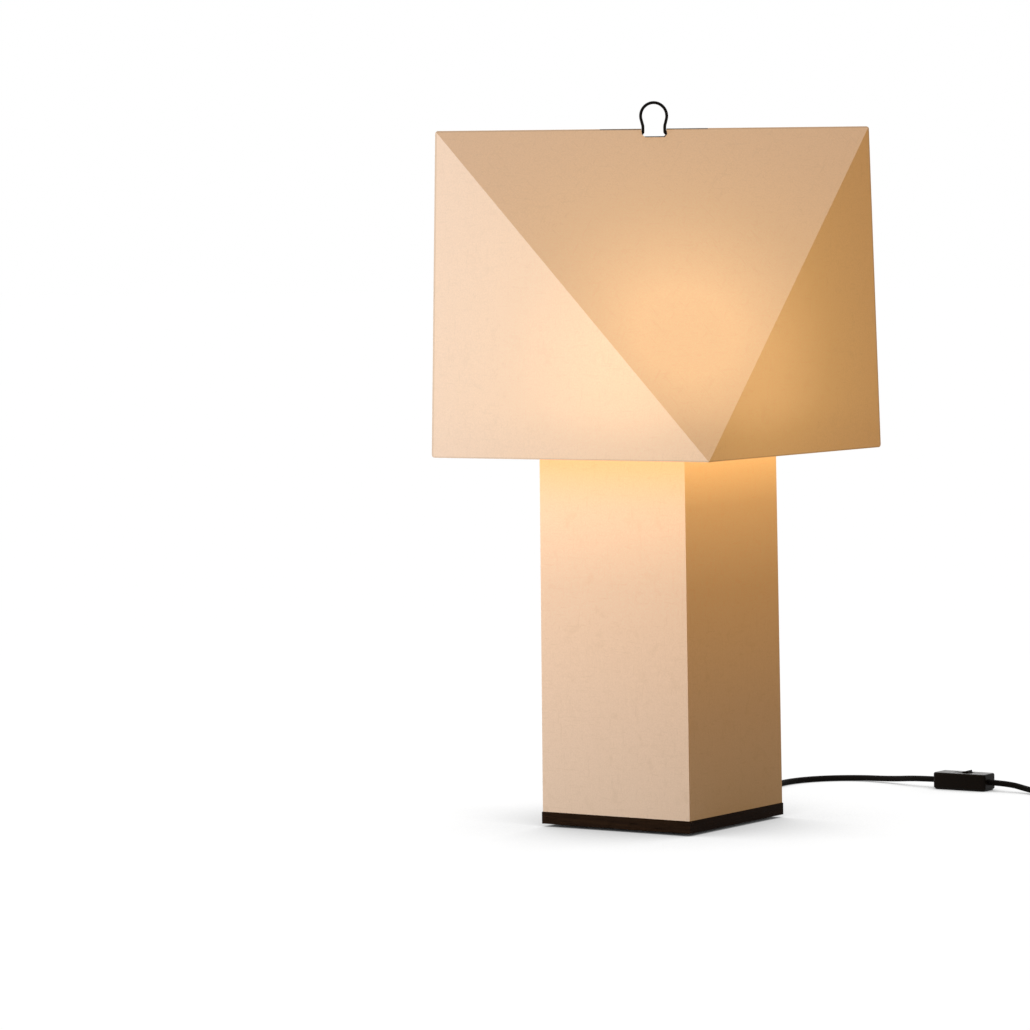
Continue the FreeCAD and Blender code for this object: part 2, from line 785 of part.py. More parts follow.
def make_harp():
    """One bent wire from sleeve to sleeve over the bulb."""
    foot, wide, top = (size(name) / 2 for name in ("harp_foot_spread", "harp_spread", "harp_top_spread"))
    start = place("board_top") + size("saddle_thickness") + size("thread_clearance")
    knee = start + size("harp_sleeve_height")
    shoulder = start + size("harp_shoulder_rise")
    left = [(-foot, start), (-foot, knee), (-wide, shoulder), (-wide, shoulder + size("harp_straight")),
            (-top, HARP_TOP)]
    right = [(-s, z) for s, z in reversed(left)]
    points = [Vector(s, 0, z) for s, z in left + right]
    new_feature("harp", tube_along(bent_path(points, [10, 20, 60, 12, 12, 60, 20, 10]),
                                   size("harp_wire")), ON_RIDGE)


def make_crosshead():
    """Bar on edge, welded along the harp's top, that the shade's ridge rests on."""
    length, thickness = size("crosshead_length"), size("crosshead_thickness")
    relief = size("crosshead_relief")
    low = EAR_BOTTOM - size("seat_gap")
    bar = Part.makeBox(length, thickness, size("crosshead_height"),
                       Vector(-length / 2, -thickness / 2, CROSSHEAD_BOTTOM))
    cut = Part.makeBox(relief, 2 * thickness, size("crosshead_height"),
                       Vector(-relief / 2, -thickness, low))
    new_feature("harp_crosshead", bar.cut(cut), ON_RIDGE)


# Shade -----------------------------------------------------------------------------------------------


def facet(points, inset):
    """Plane through three corners, as (unit normal pointing out, distance), moved inwards."""
    normal = (points[1] - points[0]).cross(points[2] - points[0]).normalize()
    centre = Vector(0, 0, size("shade_bottom"))
    if normal.dot(points[0] - centre) < 0:
        normal = -normal
    return normal, normal.dot(points[0]) - inset


def meet(first, second, third):
    """The point that three planes share."""
    (n1, d1), (n2, d2), (n3, d3) = first, second, third
    total = n2.cross(n3) * d1 + n3.cross(n1) * d2 + n1.cross(n2) * d3
    return total * (1 / n1.dot(n2.cross(n3)))


def folded_form(inset, bottom):
    """Wedge with a square foot and a ridge over its diagonal, each facet moved inwards by inset."""
    half = size("shade_side") / math.sqrt(2)
    ridge = size("ridge_length") / 2
    low, high = size("shade_bottom"), place("ridge_top")
    left, near, right, far = (Vector(x, y, low) for x, y in ((-half, 0), (0, -half), (half, 0), (0, half)))
    start, end = Vector(-ridge, 0, high), Vector(ridge, 0, high)
    ground = (Vector(0, 0, -1), -bottom)
    front, back = facet((start, end, near), inset), facet((start, end, far), inset)
    front_left, back_left = facet((start, left, near), inset), facet((start, left, far), inset)
    front_right, back_right = facet((end, near, right), inset), facet((end, far, right), inset)
    crest = [meet(front, back, front_left), meet(front, back, front_right)]
    foot = [meet(ground, front_left, back_left), meet(ground, front_left, front_right),
            meet(ground, front_right, back_right), meet(ground, back_left, back_right)]
    faces = [foot]
    for corner, slope, beside_left, beside_right in ((foot[1], front, front_left, front_right),
                                                     (foot[3], back, back_left, back_right)):
        knee = meet(slope, beside_left, beside_right)
        lifted = [knee] if (knee - corner).Length > 1e-6 else []
        faces.append([crest[0], crest[1], knee])
        faces.append([crest[0], foot[0], corner] + lifted)
        faces.append([crest[1], foot[2], corner] + lifted)
    return polyhedron(faces)


def ridge_notch():
    """Cutter for the notch in the middle of the ridge, with slanted lower corners."""
    half, chamfer = size("notch_width") / 2, size("notch_chamfer")
    low, high = place("ridge_top") - size("notch_depth"), place("ridge_top") + 1
    reach = size("shade_side") / 4
    outline = [(-half, high), (-half, low + chamfer), (-half + chamfer, low),
               (half - chamfer, low), (half, low + chamfer), (half, high)]
    return prism([Vector(s, -reach, z) for s, z in outline], Vector(0, 2 * reach, 0))


def sheet_outline():
    """Block with the shade's outline along the ridge, its four corners slightly rounded."""
    half, ridge = size("shade_side") / math.sqrt(2), size("ridge_length") / 2
    low, high, reach = size("shade_bottom"), place("ridge_top"), size("shade_side")
    outline = [(-half, low), (half, low), (ridge, high), (-ridge, high)]
    block = prism([Vector(s, -reach, z) for s, z in outline], Vector(0, 2 * reach, 0))
    corners = [edge for edge in block.Edges if abs(edge.tangentAt(edge.FirstParameter).y) > 0.9]
    return block.makeFillet(size("sheet_corner"), corners)


def spine(gap):
    """Upright edge of the ridge strip that shows between the two sheets, grown by a gap."""
    half, thickness = size("strip_length") / 2 + gap, size("spine_thickness") + 2 * gap
    return Part.makeBox(2 * half, thickness, place("ridge_top") - STRIP_APEX,
                        Vector(-half, -thickness / 2, STRIP_APEX))


def make_shade_sheets():
    """Front and back sheets of stiff paper, three facets each, that meet along the ridge's plane."""
    outer = folded_form(0, size("shade_bottom"))
    inner = folded_form(size("sheet_thickness"), size("shade_bottom") - 1)
    shell = outer.cut(inner).common(sheet_outline()).cut(ridge_notch()).cut(spine(size("thread_clearance")))
    reach = size("shade_side")
    for label, start in (("shade_front_sheet", -reach), ("shade_back_sheet", 0)):
        half = Part.makeBox(2 * reach, reach, size("shade_height"),
                            Vector(-reach, start, size("shade_bottom")))
        new_feature(label, shell.common(half), ON_RIDGE)


def make_ridge_strip():
    """Folded steel strip inside the ridge, with two drilled ears that hold the loop's arms."""
    half = size("strip_length") / 2
    slope = Vector(0, size("shade_side") / math.sqrt(2), -size("shade_height")).normalize()
    sheet, steel = size("sheet_thickness"), size("strip_thickness")
    tops = [Vector(-half, 0, place("ridge_top") - wall_drop(depth)) for depth in (sheet, sheet + steel)]
    mirror = Vector(slope.x, -slope.y, slope.z)
    leg = size("strip_leg")
    outline = [tops[0] + mirror * leg, tops[0], tops[0] + slope * leg,
               tops[1] + slope * (leg - 0.5), tops[1], tops[1] + mirror * (leg - 0.5)]
    strip = prism(outline, Vector(2 * half, 0, 0)).fuse(spine(0)).cut(ridge_notch())
    depth = STRIP_APEX - EAR_BOTTOM
    spread = depth / apex_drop(1)
    for side in (-1, 1):
        at = side * size("ear_offset") - size("ear_thickness") / 2
        corners = [Vector(at, 0, STRIP_APEX), Vector(at, spread, EAR_BOTTOM), Vector(at, -spread, EAR_BOTTOM)]
        hole = Part.makeCylinder(size("loop_wire") / 2 + size("running_gap"), size("ear_thickness"),
                                 Vector(at, 0, LOOP_LEVEL), Vector(1, 0, 0))
        strip = strip.fuse(prism(corners, Vector(size("ear_thickness"), 0, 0)).cut(hole))
    new_feature("ridge_strip", strip.removeSplitter(), ON_RIDGE)


def make_hem_frame():
    """Square of wire with rounded corners inside the shade's lower edge."""
    reach = size("shade_side") / 2 - size("sheet_thickness") - size("hem_wire") / 2 - size("fitting_gap")
    level = size("shade_bottom") + size("hem_rise")
    corners = [Vector(x * reach, y * reach, level) for x, y in ((1, -1), (1, 1), (-1, 1), (-1, -1))]
    middle = (corners[3] + corners[0]) * 0.5
    points = [middle] + corners + [middle]
    path = bent_path(points, [size("hem_corner")] * 4)
    new_feature("hem_frame", tube_along(path, size("hem_wire")))


def make_lift_loop():
    """Round loop of wire whose two arms turn outwards into the ridge strip's ears."""
    wire = size("loop_wire")
    radius = (size("loop_width") - wire) / 2
    neck = size("loop_neck") / 2
    centre = place("ridge_top") + size("loop_height") - wire / 2 - radius
    knee = Vector(neck, 0, place("ridge_top") + size("loop_neck_rise") / 3)
    away = math.hypot(knee.x, centre - knee.z)
    angle = math.acos(radius / away) + math.atan2(knee.x, centre - knee.z)
    touch = Vector(radius * math.sin(angle), 0, centre - radius * math.cos(angle))
    outer = Vector(neck + size("loop_arm"), 0, LOOP_LEVEL)
    right = bent_path([outer, Vector(neck, 0, LOOP_LEVEL), knee, touch],
                      [size("loop_corner"), size("loop_neck_rise")])
    left = right.mirror(Vector(0, 0, 0), Vector(1, 0, 0))
    bow = Part.Arc(touch, Vector(0, 0, centre + radius), Vector(-touch.x, 0, touch.z)).toShape()
    path = Part.Wire(Part.__sortEdges__(right.Edges + [bow] + left.Edges))
    new_feature("lift_loop", tube_along(path, wire), ON_RIDGE)


# Mains lead inside the lamp --------------------------------------------------------------------------


def make_cord_bush():
    """Rubber bush in the plate's back edge, with a flange and a tapered tail."""
    level, cord = place("cord_level"), size("cord_diameter")
    edge = size("plate_side") / 2
    hole = cord / 2 + size("thread_clearance")
    width = cord + 4 * size("bush_wall")
    back = Vector(0, 1, 0)
    inside = Part.makeBox(width, size("bush_body_length"), width / 2 + level - size("pad_height"),
                          Vector(-width / 2, edge - size("bush_body_length"), size("pad_height")))
    flange_width = size("bush_flange")
    flange_top = min(level + flange_width / 2, place("plate_top") - size("plate_edge_chamfer"))
    flange_bottom = size("floor_gap")
    flange = Part.makeBox(flange_width, size("bush_flange_thickness"), flange_top - flange_bottom,
                          Vector(-flange_width / 2, edge, flange_bottom))
    upright = [e for e in flange.Edges if abs(e.tangentAt(e.FirstParameter).y) > 0.9]
    flange = flange.makeFillet(2.5, upright)
    tail = Part.makeCone(size("bush_tail_root") / 2, cord / 2 + size("bush_wall"),
                         size("bush_tail_length") - size("bush_flange_thickness"),
                         Vector(0, edge + size("bush_flange_thickness"), level), back)
    whole = inside.fuse(flange).fuse(tail)
    bore = Part.makeCylinder(hole, size("bush_body_length") + size("bush_tail_length"),
                             Vector(0, edge - size("bush_body_length"), level), back)
    new_feature("cord_bush", whole.cut(bore).removeSplitter())


def make_inner_lead():
    """The lead's stretch inside the lamp: along the groove, round one bend and up to the contact block."""
    level = place("cord_level")
    end = place("contact_top") - size("insert_thickness")
    tail_end = size("plate_side") / 2 + size("bush_tail_length")
    points = [Vector(0, tail_end, level), Vector(0, 0, level), Vector(0, 0, end)]
    new_feature("inner_lead", tube_along(bent_path(points, [size("cord_bend")]), size("cord_diameter")))


def make_cord_clamp():
    """Steel strip screwed over the groove under the plate, and its two screws."""
    middle = "Sizes.plate_side / 2 - Sizes.clamp_inset"
    body = new_body("cord_clamp")
    strip = new_sketch(body, z="Sizes.pad_height")
    add_rectangle(strip, "Sizes.clamp_length", "Sizes.clamp_width", y=middle)
    for side in ("", "-"):
        add_circle(strip, "Sizes.clamp_screw_diameter + 2 * Sizes.fitting_gap",
                   side + "Sizes.clamp_screw_spacing / 2", middle)
    pad(body, strip, "Sizes.clamp_thickness", down=True)
    screws = new_body("clamp_screws")
    under = "Sizes.pad_height - Sizes.clamp_thickness - Sizes.clamp_screw_head_height"
    for width, length in (("Sizes.clamp_screw_head", "Sizes.clamp_screw_head_height"),
                          ("Sizes.clamp_screw_diameter", "Sizes.clamp_screw_length")):
        sketch = new_sketch(screws, z=under)
        for side in ("", "-"):
            add_circle(sketch, width, side + "Sizes.clamp_screw_spacing / 2", middle)
        pad(screws, sketch, length)


def drill_plate_for_clamp():
    """Pilot holes for the clamp's screws in the base plate."""
    body = next(node for node in nodes if node.Label == "base_plate")
    middle = "Sizes.plate_side / 2 - Sizes.clamp_inset"
    sketch = new_sketch(body, z="Sizes.pad_height")
    for side in ("", "-"):
        add_circle(sketch, "Sizes.clamp_screw_diameter + 2 * Sizes.thread_clearance",
                   side + "Sizes.clamp_screw_spacing / 2", middle)
    pocket(body, sketch, "Sizes.clamp_screw_length", up=True)


# Free lead, switch, coil and plug --------------------------------------------------------------------


def lead_to_switch():
    """Route from the bush's tail to the switch, as it lies on the table."""
    level = place("cord_level")
    tail_end = size("plate_side") / 2 + size("bush_tail_length")
    inside = size("switch_length") / 2 - size("cord_inside_switch")
    entry = Vector(size("switch_x") - inside, size("switch_y"), size("switch_split"))
    floor = size("cord_diameter") / 2 + 0.1
    return [Vector(0, tail_end, level),
            Vector(0, tail_end + 24, level),
            Vector(-7, 174, floor),
            Vector(-24, 226, floor),
            Vector(-46, 279, floor),
            Vector(-58, 328, floor),
            Vector(-44, 371, floor),
            Vector(-8, 399, floor),
            Vector(37, 394, 4.6),
            entry + Vector(-30, 0, 0),
            entry]


def coil_frame():
    """Heading at the coil's start, the direction to its centre, and the centre itself."""
    angle = math.radians(size("coil_heading"))
    heading = Vector(math.cos(angle), math.sin(angle), 0)
    inward = Vector(-heading.y, heading.x, 0)
    centre = Vector(size("coil_x"), size("coil_y"), size("cord_diameter") / 2 + 0.1)
    return heading, inward, centre


def lead_to_coil():
    """Route from the switch to the start of the coil."""
    inside = size("switch_length") / 2 - size("cord_inside_switch")
    exit_point = Vector(size("switch_x") + inside, size("switch_y"), size("switch_split"))
    heading, inward, centre = coil_frame()
    start = centre - inward * size("coil_outer_radius") - heading * size("cord_diameter")
    return [exit_point,
            exit_point + Vector(27, 0, 0),
            Vector(211.2, 376.9, 4.4),
            start - heading * 26,
            start]


COIL_HALF_TURNS = 5


def coil_radii():
    """Distance from the centre at each half turn: in along one layer, out along the next."""
    step = (size("cord_diameter") + size("coil_turn_gap")) / 2
    inwards = [size("coil_outer_radius") - step * count for count in range(COIL_HALF_TURNS)]
    inwards.append(inwards[-1] - step - size("coil_climb_room"))
    return inwards + inwards[::-1]


def half_turn_arc(first, middle, last):
    return Part.Arc(first, middle, last).toShape()


def make_coil():
    """Spare length wound in two layers as one unbroken tube, its ends straight for one diameter."""
    heading, inward, centre = coil_frame()
    diameter = size("cord_diameter")
    lift = diameter + size("coil_layer_gap")
    radii = coil_radii()
    climb_from = COIL_HALF_TURNS
    edges = []
    side, along, level = -1, 1, 0
    point = centre - inward * radii[0]
    edges.append(Part.LineSegment(point - heading * diameter, point).toShape())
    for index, (near, far) in enumerate(zip(radii, radii[1:])):
        rise = lift if index == climb_from else 0
        across = (near + far) / 2
        hub = point - inward * side * near + inward * side * (near - far) / 2
        if rise:
            edges += climbing_arcs(hub, inward * side, heading * along, across, rise)
        else:
            edges.append(half_turn_arc(point, hub + heading * along * across, hub - inward * side * across))
        level += rise
        point = hub - inward * side * across + UP * rise
        side, along = -side, -along
    edges.append(Part.LineSegment(point, point + heading * along * diameter).toShape())
    path = Part.Wire(edges)
    solid = tube_along(path, diameter)
    print("cord_coil: length %.1f, volume / expected %.5f, least gap to itself %.2f" % (
        path.Length, solid.Volume / (math.pi * diameter ** 2 / 4 * path.Length),
        least_gap(path, diameter)))
    new_feature("cord_coil", solid)
    return point + heading * along * diameter, heading * along


def climbing_arcs(hub, outward, onward, radius, rise):
    """Half turn that climbs a layer in eight arcs: the slope grows and then fades again."""
    steps = 4
    places_on_turn = []
    for index in range(steps + 1):
        share = index / steps
        angle = math.pi * share
        place_now = outward * math.cos(angle) + onward * math.sin(angle)
        heading = onward * math.cos(angle) - outward * math.sin(angle)
        height = rise * (share - math.sin(2 * angle) / (2 * math.pi))
        slope = rise * (1 - math.cos(2 * angle)) / (math.pi * radius)
        places_on_turn.append((hub + place_now * radius + UP * height, (heading + UP * slope).normalize()))
    arcs = []
    for (point, heading), (end, last_heading) in zip(places_on_turn, places_on_turn[1:]):
        arcs += biarc(point, heading, end, last_heading)
    return arcs


def least_gap(path, diameter):
    """Least clear distance between stretches of the coil that lie apart along it."""
    count = int(path.Length / 2)
    points = path.discretize(count)
    spacing = path.Length / (count - 1)
    skip = int(3 * diameter / spacing)
    least = min((points[i] - points[j]).Length for i in range(count) for j in range(i + skip, count))
    return least - diameter


def make_coil_tie():
    """Strap round the coil's section, on the side away from the lamp."""
    heading, inward, centre = coil_frame()
    radii = coil_radii()
    diameter, gap, wall = size("cord_diameter"), size("cord_gap"), size("tie_thickness")
    low = centre.z - diameter / 2
    high = centre.z + diameter + size("coil_layer_gap") + diameter / 2
    width = size("tie_width")
    inner = math.sqrt((min(radii) - diameter / 2) ** 2 - (width / 2) ** 2) - gap
    outer = max(radii) + diameter / 2
    hole = Part.makeBox(outer - inner + 2 * gap, width, high - low + gap,
                        Vector(inner - gap, -width / 2, low))
    block = Part.makeBox(outer - inner + 2 * gap + 2 * wall, width, high - low + gap + wall,
                         Vector(inner - gap - wall, -width / 2, low))
    floor = FreeCAD.Placement(Vector(centre.x, centre.y, 0),
                              FreeCAD.Rotation(Vector(1, 0, 0), heading * -1))
    new_feature("coil_tie", block.cut(hole), floor)


def make_plug(start, heading):
    """Flat two-pin plug with a ribbed tail, and its pins; the tail starts at the given point."""
    relief, body_length = size("plug_relief_length"), size("plug_body_length")
    cord, root = size("cord_diameter"), size("plug_pin_root")
    frame = FreeCAD.Placement(start, FreeCAD.Rotation(Vector(1, 0, 0), heading))
    face = start + heading * (relief + body_length)
    print("plug face at", [round(number, 3) for number in face], "facing", [round(n, 4) for n in heading])
    tail = Part.makeCone(cord / 2 + size("bush_wall"), cord / 2 + 2, relief, Vector(0, 0, 0), Vector(1, 0, 0))
    sections = []
    neck, width, height = size("plug_neck_width"), size("plug_face_width"), size("plug_face_height")
    for at, wide, tall in ((0, neck, min(neck, height) - 2), (0.45, width, height), (1, width, height)):
        sections.append(oblong(relief + body_length * at, wide, tall))
    body = Part.makeLoft(sections, True, True).fuse(tail)
    pins = []
    onward, bare, collar = Vector(1, 0, 0), size("plug_pin_length"), 0.6
    for side in (-1, 1):
        foot = Vector(relief + body_length - root, side * size("plug_pin_spacing") / 2, 0)
        radius, stem = size("plug_pin_diameter") / 2, size("plug_pin_stem") / 2
        body = body.cut(Part.makeCylinder(stem, root, foot, onward))
        pin = Part.makeCylinder(radius, bare - collar, foot + onward * (root + collar), onward)
        end = foot.x + root + bare
        pin = pin.makeChamfer(0.8, [edge for edge in pin.Edges if edge.CenterOfMass.x > end - 0.1])
        pins.append(pin.fuse(Part.makeCylinder(stem, root + collar, foot, onward)))
    new_feature("plug_body", body.removeSplitter(), frame)
    new_feature("plug_pins", Part.makeCompound(pins), frame)


def oblong(at, wide, tall):
    """Flat outline with slanted corners, square to the plug's axis."""
    cut = tall * 0.3
    half, rise = wide / 2, tall / 2
    corners = [(-half, -rise + cut), (-half + cut, -rise), (half - cut, -rise), (half, -rise + cut),
               (half, rise - cut), (half - cut, rise), (-half + cut, rise), (-half, rise - cut)]
    points = [Vector(at, y, z) for y, z in corners]
    return Part.makePolygon(points + points[:1])


def make_lead_end(start, heading):
    """Last stretch of the lead, from the coil's top layer down to the plug's tail."""
    level = size("plug_axis_height")
    sideways = Vector(-heading.y, heading.x, 0)
    end = start + heading * 66 + sideways * 3
    end.z = level
    points = [start,
              start + heading * 15,
              start + heading * 33 + sideways * 2 + Vector(0, 0, (level - start.z) * 0.75),
              Vector(end.x, end.y, level) - heading * 16,
              end]
    cord_tube("cord_to_plug", points)
    return end


# Switch ----------------------------------------------------------------------------------------------


def switch_block(low, high, inset):
    """Upright block with rounded corners between two heights, smaller all round by inset."""
    length, width = size("switch_length") - 2 * inset, size("switch_width") - 2 * inset
    block = Part.makeBox(length, width, high - low, Vector(-length / 2, -width / 2, low))
    upright = [edge for edge in block.Edges if abs(edge.tangentAt(edge.FirstParameter).z) > 0.9]
    return block.makeFillet(max(size("switch_corner") - inset, 0.5), upright)


def make_switch():
    at = FreeCAD.Placement(Vector(size("switch_x"), size("switch_y"), 0), FreeCAD.Rotation())
    bottom, split, top = size("floor_gap"), size("switch_split"), size("switch_height")
    wall, edge = size("switch_wall"), size("switch_edge")
    pivot = Vector(0, 0, size("rocker_pivot_height"))
    cheek, gap = size("cheek_thickness"), size("rocker_gap")
    rocker_width, rocker_length = size("rocker_width"), size("rocker_length")
    pin_radius, pin_gap = size("rocker_pin_diameter") / 2, size("thread_clearance")
    across = Vector(0, 1, 0)

    lower = switch_block(bottom, split, 0)
    lower = lower.makeChamfer(edge, [e for e in lower.Edges if lies_at(e, bottom)])
    lower = lower.cut(switch_block(bottom + wall, split, wall))
    upper = switch_block(split, top, 0)
    upper = upper.makeFillet(edge, [e for e in upper.Edges if lies_at(e, top)])
    upper = upper.cut(switch_block(split, top - wall, wall))
    window = Part.makeBox(rocker_length + 2 * gap, rocker_width + 2 * gap, 2 * wall,
                          Vector(-rocker_length / 2 - gap, -rocker_width / 2 - gap, top - 1.5 * wall))
    upper = upper.cut(window)
    half_length, sideways = size("switch_length") / 2, Vector(1, 0, 0)
    passage = Part.makeCylinder(size("cord_diameter") / 2 + size("thread_clearance"), 2 * half_length,
                                Vector(-half_length, 0, split), sideways)
    lower, upper = lower.cut(passage), upper.cut(passage)

    pin_half = rocker_width / 2 + gap + cheek
    for side in (-1, 1):
        inner = rocker_width / 2 + gap
        start = inner if side > 0 else -inner - cheek
        ear = Part.makeBox(8, cheek, pivot.z + 3 - bottom - wall, Vector(-4, start, bottom + wall))
        lower = lower.fuse(ear)
    pin_start = pivot - across * pin_half
    lower = lower.cut(Part.makeCylinder(pin_radius + pin_gap, 2 * pin_half, pin_start, across))

    screws = []
    screw_gap = size("thread_clearance")
    for side in (-1, 1):
        foot = Vector(side * size("switch_screw_spacing") / 2, 0, bottom)
        shank, head = size("switch_screw_diameter") / 2, size("switch_screw_head") / 2
        length = size("switch_screw_length")
        boss = Part.makeCylinder(shank + 1.5, split - bottom, foot)
        post = Part.makeCylinder(shank + 1.5, top - wall - split, foot + UP * (split - bottom))
        bore = Part.makeCylinder(shank + screw_gap, length + 0.5, foot)
        sink = Part.makeCylinder(head + screw_gap, 1.5, foot)
        lower = lower.fuse(boss).cut(bore).cut(sink)
        upper = upper.fuse(post).cut(bore)
        screws.append(Part.makeCylinder(shank, length, foot).fuse(Part.makeCylinder(head, 1.4, foot)))
    new_feature("switch_lower_shell", lower.removeSplitter(), at)
    new_feature("switch_upper_shell", upper.removeSplitter(), at)
    new_feature("switch_screws", Part.makeCompound([screw.removeSplitter() for screw in screws]), at)

    new_feature("rocker_pin", Part.makeCylinder(pin_radius, 2 * pin_half, pin_start, across), at)
    tilt = FreeCAD.Placement(pivot, FreeCAD.Rotation(across, -size("rocker_angle")))
    half = rocker_length / 2 - 1.5
    crown = top - pivot.z
    drop = math.tan(math.radians(size("rocker_angle"))) * half
    outline = [Vector(-half, 0, crown + size("rocker_rise") - 1.2), Vector(0, 0, crown + 0.6),
               Vector(half, 0, crown + size("rocker_rise") - 1.2), Vector(half, 0, crown - 2.4),
               Vector(4, 0, -2.6), Vector(-4, 0, -2.6), Vector(-half, 0, crown - 2.4)]
    rocker = prism([point - across * rocker_width / 2 for point in outline], across * rocker_width)
    hub = Part.makeCylinder(pin_radius + pin_gap, 2 * rocker_width, across * -rocker_width, across)
    new_feature("switch_rocker", rocker.cut(hub), at.multiply(tilt))


# Build, check and write ------------------------------------------------------------------------------

make_foot_pads()
make_base_plate()
make_foot_frame()
countersunk_screws("frame_screws", "Sizes.pad_height", SCREW_PLACE, "Sizes.wood_screw_length")
make_ballast()
countersunk_screws("ballast_screws", "Sizes.pad_height", BALLAST_SCREW_PLACE, "Sizes.ballast_screw_length")
make_column_sleeve()
make_column_posts()
make_top_board()
make_board_screws()
make_nipple()
make_nipple_nuts()
make_nipple_washer()
make_lampholder_cap()
make_lampholder_shell()
make_lampholder_insert()
make_lampholder_screw_shell()
make_bulb_cap()
make_bulb_globe()
make_harp_saddle()
make_harp()
make_crosshead()
make_shade_sheets()
make_ridge_strip()
make_hem_frame()
make_lift_loop()
make_cord_bush()
make_cord_clamp()
drill_plate_for_clamp()
make_inner_lead()
cord_tube("cord_to_switch", lead_to_switch())
make_switch()
cord_tube("cord_to_coil", lead_to_coil())
coil_end, coil_heading = make_coil()
make_coil_tie()
make_plug(make_lead_end(coil_end, coil_heading), coil_heading)

print("loop axis %.3f, crosshead top %.3f, ear bottom %.3f, harp top %.3f" % (
    LOOP_LEVEL, CROSSHEAD_TOP, EAR_BOTTOM, HARP_TOP))
doc.recompute()
for item in doc.Objects:
    if "Invalid" in item.State or "Error" in item.State:
        raise ValueError("%s did not recompute: %s" % (item.Label, item.State))
for node in nodes:
    if node.Shape.isNull() or not node.Shape.isValid() or not node.Shape.Solids:
        raise ValueError("%s has no valid solid" % node.Label)

os.makedirs("parts", exist_ok=True)
for node in nodes:
    node.Shape.exportStep("parts/%s.step" % node.Label)
    print("%-24s %d solids, %.1f cm3" % (node.Label, len(node.Shape.Solids), node.Shape.Volume / 1000))
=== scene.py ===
"""Table lamp with a folded paper shade: looks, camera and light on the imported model.

Metres, +Z up.
"""
import json
import math

import bmesh
import bpy
from mathutils import Matrix, Vector


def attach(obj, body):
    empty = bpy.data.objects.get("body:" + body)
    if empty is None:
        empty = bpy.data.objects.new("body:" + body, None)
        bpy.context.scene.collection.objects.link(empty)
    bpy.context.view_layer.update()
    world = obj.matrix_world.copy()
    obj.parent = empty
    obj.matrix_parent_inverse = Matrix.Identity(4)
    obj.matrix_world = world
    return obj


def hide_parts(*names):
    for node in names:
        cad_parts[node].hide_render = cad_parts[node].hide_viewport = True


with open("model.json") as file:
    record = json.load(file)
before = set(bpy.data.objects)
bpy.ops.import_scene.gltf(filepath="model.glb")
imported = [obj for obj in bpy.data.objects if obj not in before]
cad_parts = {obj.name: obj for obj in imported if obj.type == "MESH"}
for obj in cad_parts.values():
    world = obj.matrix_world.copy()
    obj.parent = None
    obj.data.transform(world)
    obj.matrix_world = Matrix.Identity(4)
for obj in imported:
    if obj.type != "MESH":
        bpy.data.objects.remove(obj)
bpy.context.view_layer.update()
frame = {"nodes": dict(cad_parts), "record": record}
scene = bpy.context.scene

# Camera ------------------------------------------------------------------------------------------

HEADING, PITCH, ROLL = math.radians(34.64), math.radians(3.344), math.radians(0.888)
CAMERA_PLACE = (2.5529, -3.9491, 0.586)
SENSOR_WIDTH, FOCAL_LENGTH = 36, 164.27  # millimetres
FARTHEST_SEEN = 100


def make_camera():
    """The photograph's view, as fitted to the lamp's corners."""
    ahead = Vector((-math.sin(HEADING) * math.cos(PITCH), math.cos(HEADING) * math.cos(PITCH),
                    -math.sin(PITCH)))
    level = Vector((math.cos(HEADING), math.sin(HEADING), 0))
    above = level.cross(ahead)
    right = level * math.cos(ROLL) - above * math.sin(ROLL)
    up = above * math.cos(ROLL) + level * math.sin(ROLL)
    data = bpy.data.cameras.new("camera")
    data.sensor_width = SENSOR_WIDTH
    data.lens = FOCAL_LENGTH
    data.clip_end = FARTHEST_SEEN
    camera = bpy.data.objects.new("camera", data)
    turned = Matrix((right, up, -ahead)).transposed()
    camera.matrix_world = Matrix.Translation(CAMERA_PLACE) @ turned.to_4x4()
    scene.collection.objects.link(camera)
    scene.camera = camera


make_camera()

# Node helpers ------------------------------------------------------------------------------------

MIDDLE = (0.3, 0.7)  # where most of a noise's values lie
WIDE = (0.2, 0.8)


